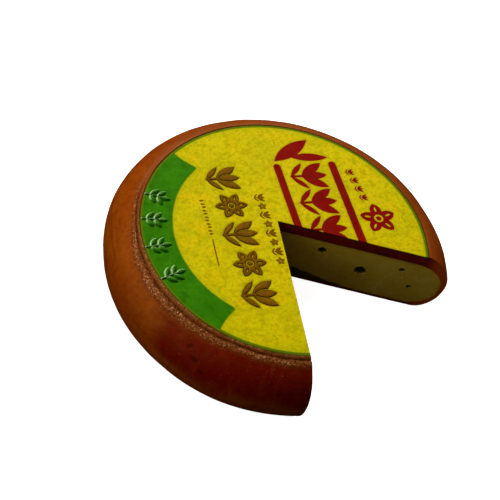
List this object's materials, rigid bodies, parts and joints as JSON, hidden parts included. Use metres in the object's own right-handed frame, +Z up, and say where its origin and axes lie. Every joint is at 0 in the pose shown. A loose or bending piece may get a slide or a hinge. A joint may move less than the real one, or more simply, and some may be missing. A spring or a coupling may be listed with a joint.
{
  "type": "cheese wheel",
  "caption": "Low round cheese wheel with a bulging coated side and a printed disc let into its top; a wedge is cut out, which shows the coat's thickness and the paste with its eyes.",
  "frame": {"origin": "on the wheel's axis, in the plane of the flat ring that it rests on", "axes": "+Z up along the wheel's axis; the cut-out wedge opens between +X and -Y, its middle at azimuth -45 degrees"},
  "size_m": [0.35, 0.35, 0.079],
  "materials": {
    "paste": "satin",
    "coat": "satin",
    "label": "satin"
  },
  "bodies": {
    "root": {"cheese_paste": "paste", "rind_coat": "coat", "top_label": "label"}
  },
  "joints": []
}
